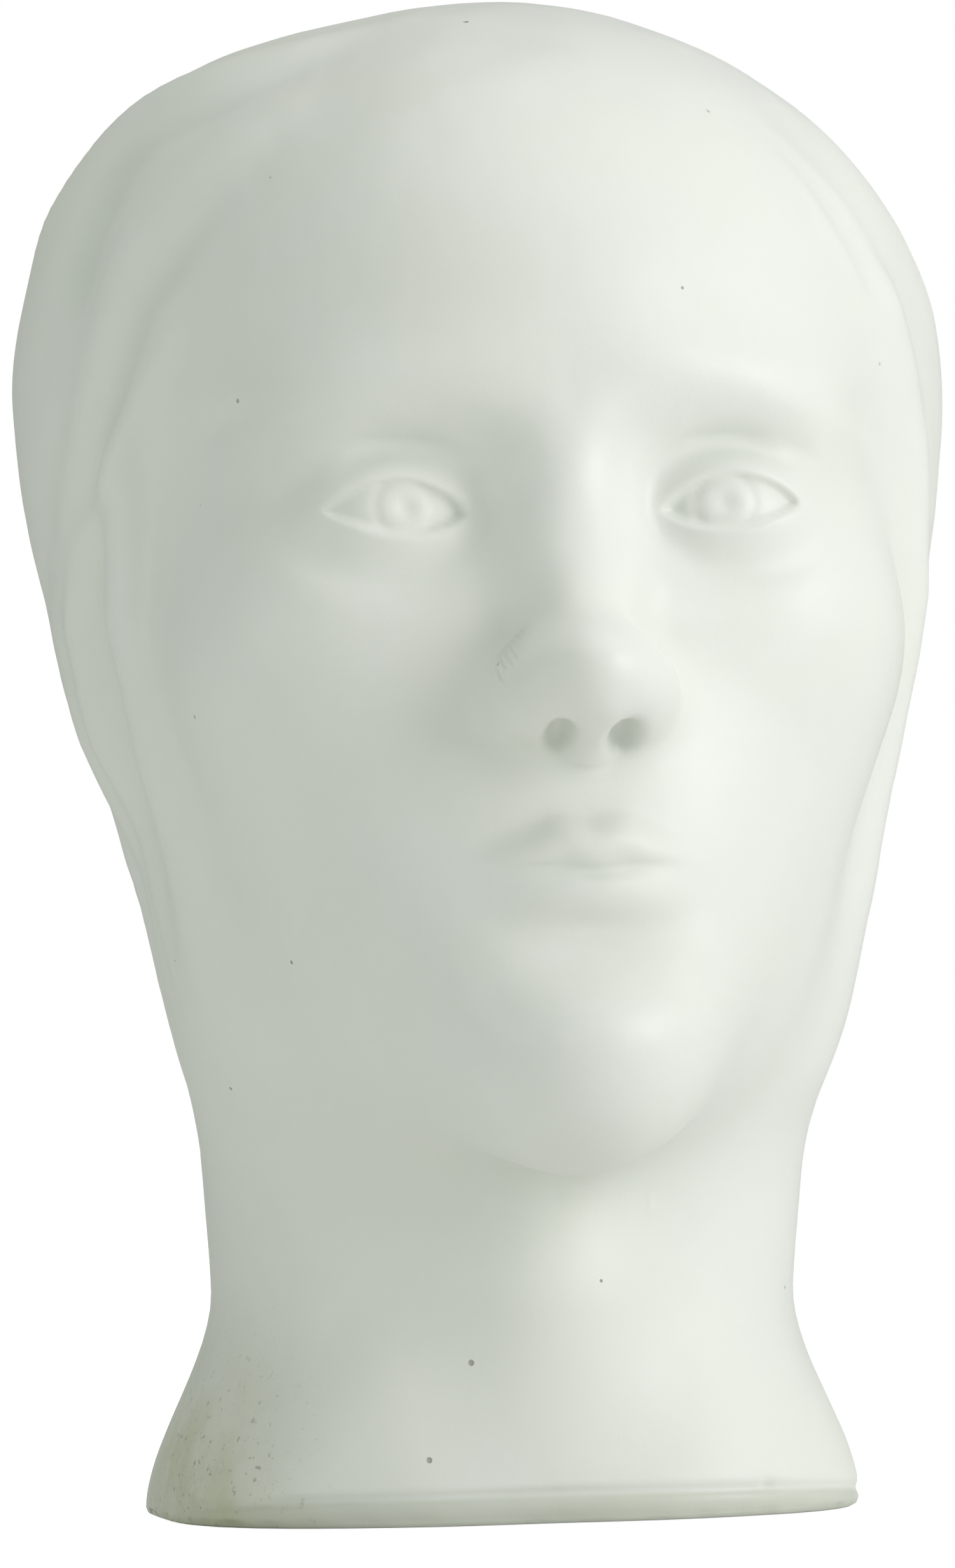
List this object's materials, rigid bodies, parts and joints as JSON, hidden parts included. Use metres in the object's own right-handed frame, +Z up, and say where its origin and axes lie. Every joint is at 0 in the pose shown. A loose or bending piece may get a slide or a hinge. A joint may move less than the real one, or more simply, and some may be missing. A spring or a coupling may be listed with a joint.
{
  "type": "resin life mask",
  "caption": "Life-size hollow resin casting of a head and neck under a smooth close-fitting cap, standing on its flat-cut neck.",
  "frame": {"origin": "centre of the casting's bounding box in plan, on the surface that it stands on", "axes": "+Z up the head, -Y the way the face looks, +X to the viewer's right as the face is seen"},
  "size_m": [0.1813, 0.2343, 0.2917],
  "materials": {
    "resin": "satin off-white resin, slightly translucent, with pinholes and light grime"
  },
  "bodies": {
    "root": {"life_mask": "resin"}
  },
  "joints": []
}
